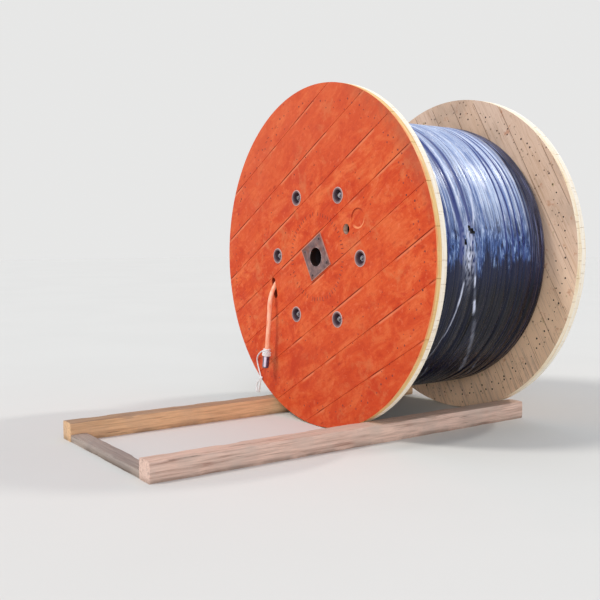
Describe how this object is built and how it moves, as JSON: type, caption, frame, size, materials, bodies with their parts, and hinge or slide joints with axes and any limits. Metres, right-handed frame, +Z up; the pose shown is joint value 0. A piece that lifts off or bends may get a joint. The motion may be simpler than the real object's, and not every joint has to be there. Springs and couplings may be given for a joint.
{
  "type": "wooden cable drum",
  "caption": "Full wooden cable drum on its side between two timbers, one flange painted orange, cable pack wrapped in black film.",
  "frame": {"origin": "on the floor under the middle of the assembly's bounding box", "axes": "+Y along the axle from the painted flange to the bare one, +Z up"},
  "size_m": [2, 2.52, 2.0029],
  "materials": {
    "painted_boards": "orange red paint, satin",
    "bare_boards": "bare softwood",
    "cable_sheath": "matte black",
    "black_film": "glossy black film",
    "zinc_steel": "dull zinc",
    "dark_steel": "weathered dark steel",
    "painted_cable": "orange overspray on a cable sheath",
    "cap_rubber": "satin dark grey",
    "white_cord": "white braided cord",
    "weathered_timber": "rough sawn, weathered",
    "grey_board": "silver grey weathered wood"
  },
  "bodies": {
    "root": {"front_outer_boards": "painted_boards", "front_inner_boards": "bare_boards", "rear_inner_boards": "bare_boards", "rear_outer_boards": "bare_boards", "barrel": "bare_boards", "cable_winding": "cable_sheath", "stretch_film": "black_film", "tie_rods": "zinc_steel", "front_cups": "zinc_steel", "rear_cups": "zinc_steel", "front_nuts": "dark_steel", "rear_nuts": "dark_steel", "centre_plate": "dark_steel", "plate_fixings": "dark_steel", "cable_tail": "painted_cable", "cable_end_cap": "cap_rubber", "tie_cord": "white_cord", "near_timber": "weathered_timber", "far_timber": "weathered_timber", "cross_board": "grey_board"}
  },
  "joints": []
}
